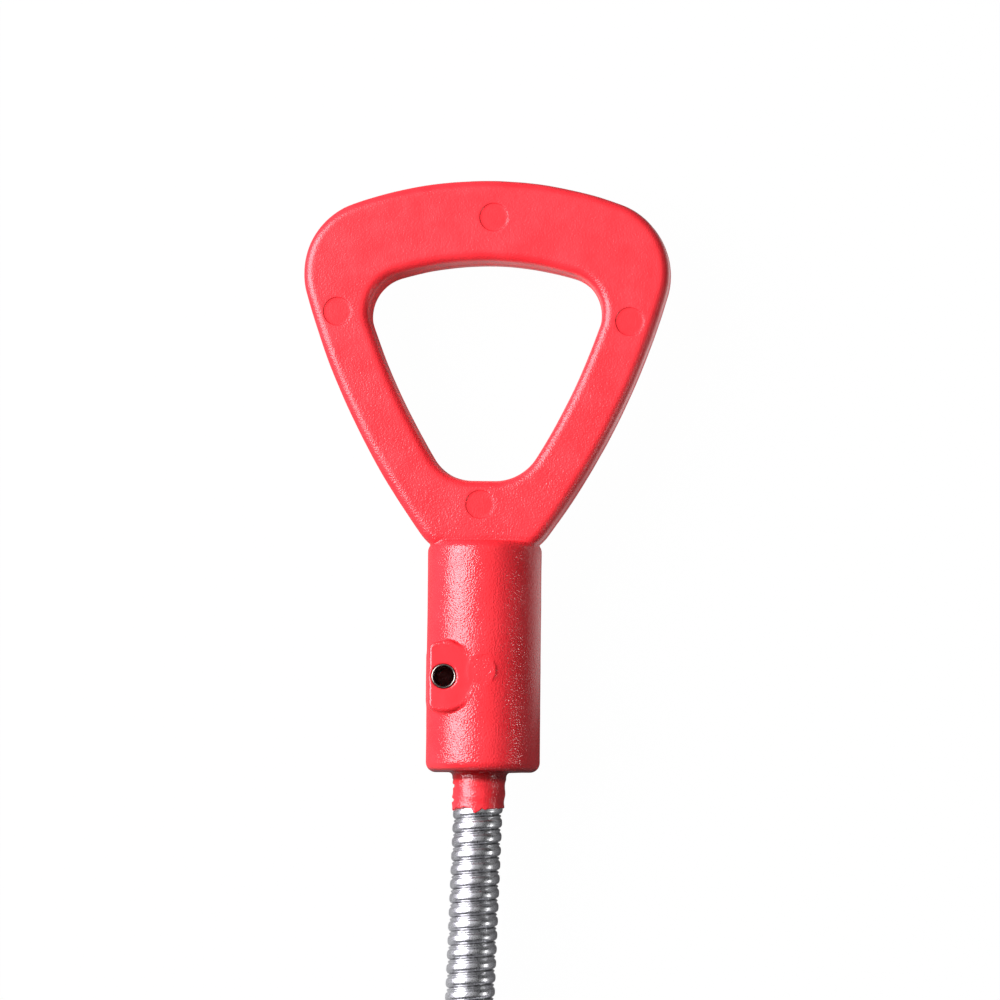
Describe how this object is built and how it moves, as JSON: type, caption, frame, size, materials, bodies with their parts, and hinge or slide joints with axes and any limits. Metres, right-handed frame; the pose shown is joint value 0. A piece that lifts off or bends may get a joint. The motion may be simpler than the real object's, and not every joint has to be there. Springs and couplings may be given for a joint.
{
  "type": "drain auger",
  "caption": "Hand drain auger with a moulded finger-loop handle, a flexible strip-wound steel casing tied in a coil, and an open wire auger head on its tip.",
  "frame": {"origin": "bottom centre of the handle's box, on the surface that the auger lies on", "axes": "+Y along the handle from the socket to the loop's top, the casing leaving along -Y; +Z out of the loop's front face, up from the surface; +X across the loop"},
  "size_m": [0.119, 0.2535, 0.0184],
  "materials": {
    "red_plastic": "semi-gloss moulded plastic with a fine grain",
    "pin_steel": "plain drawn steel",
    "plain_steel": "plain steel",
    "casing_steel": "bright zinc-plated rolled strip",
    "ferrule_steel": "turned and crimped, zinc plated",
    "spring_steel": "drawn spring wire",
    "tie_nylon": "natural nylon"
  },
  "bodies": {
    "root": {"handle": "red_plastic", "retaining_pin": "pin_steel", "anchor_sleeve": "plain_steel", "core_stop": "plain_steel", "core_cable": "plain_steel", "casing_neck": "casing_steel", "casing_run": "casing_steel", "casing_coil": "casing_steel", "casing_tail": "casing_steel", "tip_ferrule": "ferrule_steel", "tip_cross_pin": "pin_steel", "auger_head": "spring_steel", "coil_tie_1": "tie_nylon", "coil_tie_2": "tie_nylon", "coil_tie_3": "tie_nylon", "coil_tie_4": "tie_nylon"}
  },
  "joints": []
}
